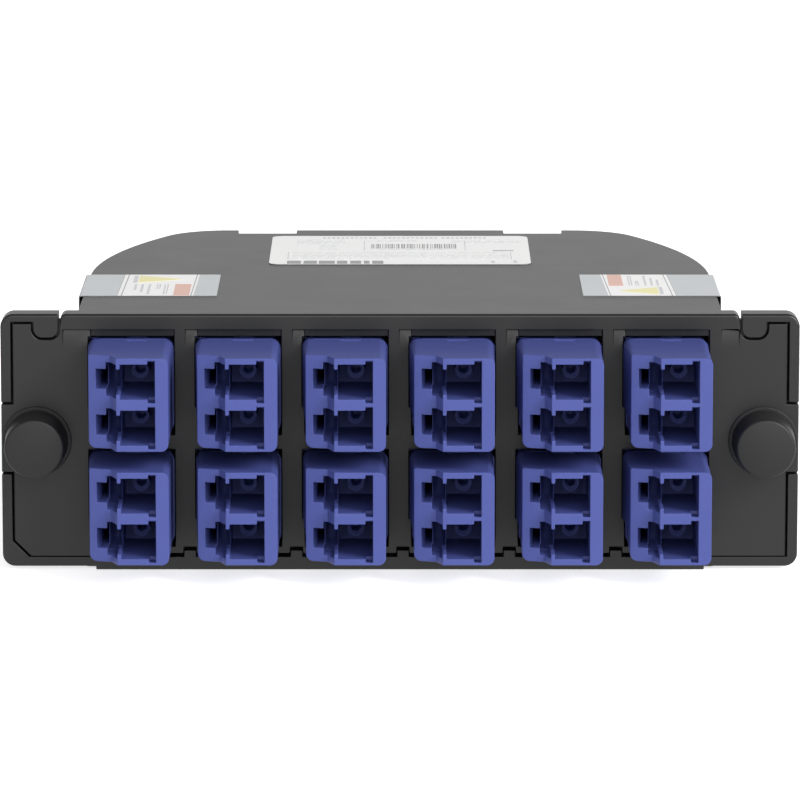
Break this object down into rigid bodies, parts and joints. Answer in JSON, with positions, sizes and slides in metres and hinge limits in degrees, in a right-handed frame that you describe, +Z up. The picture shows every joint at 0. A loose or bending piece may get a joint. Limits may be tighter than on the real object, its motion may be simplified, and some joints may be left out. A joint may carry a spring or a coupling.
{
  "type": "fibre cassette",
  "caption": "Flat D-shaped fibre cassette: two rows of duplex LC adapters through a front panel with push-pull plungers in its ears, MPO adapters through the rear wall.",
  "frame": {"origin": "middle of the whole object across and front to back, on the plane of the tray's underside", "axes": "+X to the right seen from the front, +Y from the front panel to the rear wall, +Z up from the underside"},
  "size_m": [0.1086, 0.1066, 0.0354],
  "materials": {
    "housing_plastic": "fine spark-eroded texture, moulded in black",
    "adapter_plastic": "smooth, moulded in blue-violet",
    "lc_plug_plastic": "smooth, moulded in blue-violet",
    "mpo_adapter_plastic": "smooth, moulded in black",
    "mpo_plug_plastic": "smooth, moulded in aqua",
    "mt_ferrule_plastic": "glass-filled, fine matt",
    "fanout_plastic": "smooth, moulded in black",
    "trunk_jacket": "extruded jacket, aqua",
    "fibre_buffer": "extruded buffer, aqua",
    "grommet_plastic": "smooth, moulded in black",
    "plunger_plastic": "fine texture, moulded in black",
    "label_film": "printed film, satin white",
    "tape_film": "printed film, satin light grey"
  },
  "bodies": {
    "cassette": {"base_housing": "housing_plastic", "front_panel": "housing_plastic", "top_cover": "housing_plastic", "lc_adapter_lower_1": "adapter_plastic", "lc_adapter_lower_2": "adapter_plastic", "lc_adapter_lower_3": "adapter_plastic", "lc_adapter_lower_4": "adapter_plastic", "lc_adapter_lower_5": "adapter_plastic", "lc_adapter_lower_6": "adapter_plastic", "lc_adapter_upper_1": "adapter_plastic", "lc_adapter_upper_2": "adapter_plastic", "lc_adapter_upper_3": "adapter_plastic", "lc_adapter_upper_4": "adapter_plastic", "lc_adapter_upper_5": "adapter_plastic", "lc_adapter_upper_6": "adapter_plastic", "lc_plugs": "lc_plug_plastic", "mpo_adapter_left": "mpo_adapter_plastic", "mpo_plug_left": "mpo_plug_plastic", "mt_ferrule_left": "mt_ferrule_plastic", "fanout_block_left": "fanout_plastic", "trunk_unit_left": "trunk_jacket", "fibres_left": "fibre_buffer", "grommet_left": "grommet_plastic", "tamper_tape_left": "tape_film", "mpo_adapter_right": "mpo_adapter_plastic", "mpo_plug_right": "mpo_plug_plastic", "mt_ferrule_right": "mt_ferrule_plastic", "fanout_block_right": "fanout_plastic", "trunk_unit_right": "trunk_jacket", "fibres_right": "fibre_buffer", "grommet_right": "grommet_plastic", "tamper_tape_right": "tape_film", "product_label": "label_film"},
    "plunger_left": {"plunger_left": "plunger_plastic"},
    "plunger_right": {"plunger_right": "plunger_plastic"}
  },
  "joints": [
    {"name": "plunger_left_pull", "type": "slide", "parent": "cassette", "child": "plunger_left", "axis": [0, -1, 0], "range_m": [0, 0.004]},
    {"name": "plunger_right_pull", "type": "slide", "parent": "cassette", "child": "plunger_right", "axis": [0, -1, 0], "range_m": [0, 0.004]}
  ]
}
